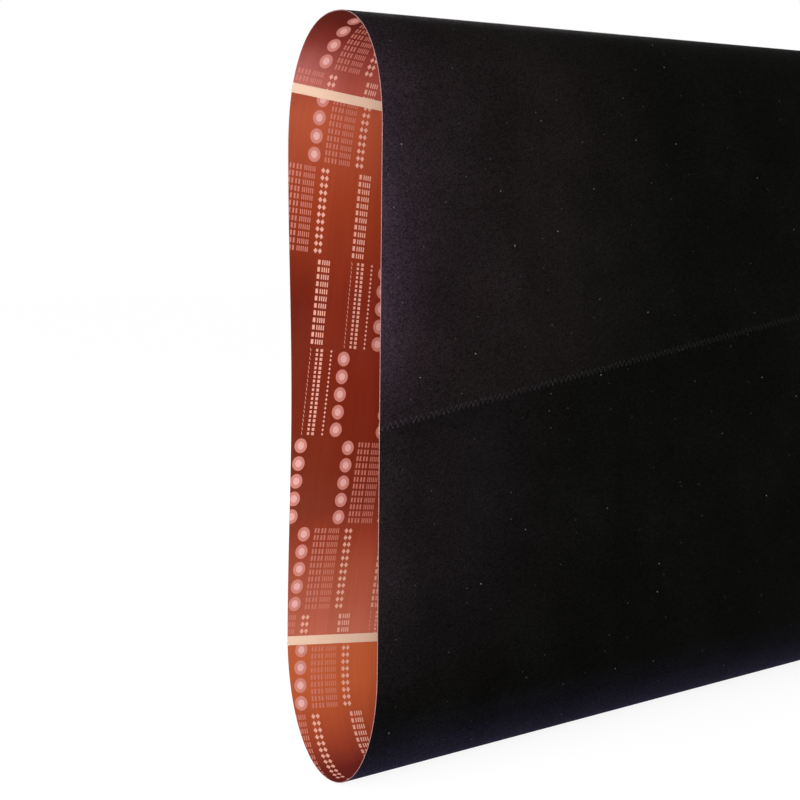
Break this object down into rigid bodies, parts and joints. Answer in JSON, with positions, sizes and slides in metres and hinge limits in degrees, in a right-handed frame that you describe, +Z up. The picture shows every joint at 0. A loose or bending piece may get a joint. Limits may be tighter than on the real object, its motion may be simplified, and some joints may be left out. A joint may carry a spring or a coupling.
{
  "type": "sectional sanding belt",
  "caption": "Wide endless sanding belt, made of abrasive cloth lengths joined by slanted zigzag butt splices with tape on the inside.",
  "frame": {"origin": "middle of the loop and of the belt's width", "axes": "+X along the width, which is the rollers' direction; +Y towards the slack back run; +Z up from the bottom bend to the top bend"},
  "size_m": [1.65, 0.305, 1.474],
  "materials": {
    "abrasive_grain": "near-black coarse grain with a faint purple sheen",
    "cloth_backing": "red-brown woven cloth, half matt",
    "backing_print": "thin pale pink printed marks",
    "splice_tape": "cream fibre-reinforced film, half matt"
  },
  "bodies": {
    "root": {"abrasive_section_1": "abrasive_grain", "abrasive_section_2": "abrasive_grain", "abrasive_section_3": "abrasive_grain", "splice_tape_1": "splice_tape", "splice_tape_2": "splice_tape", "splice_tape_3": "splice_tape"}
  },
  "joints": []
}
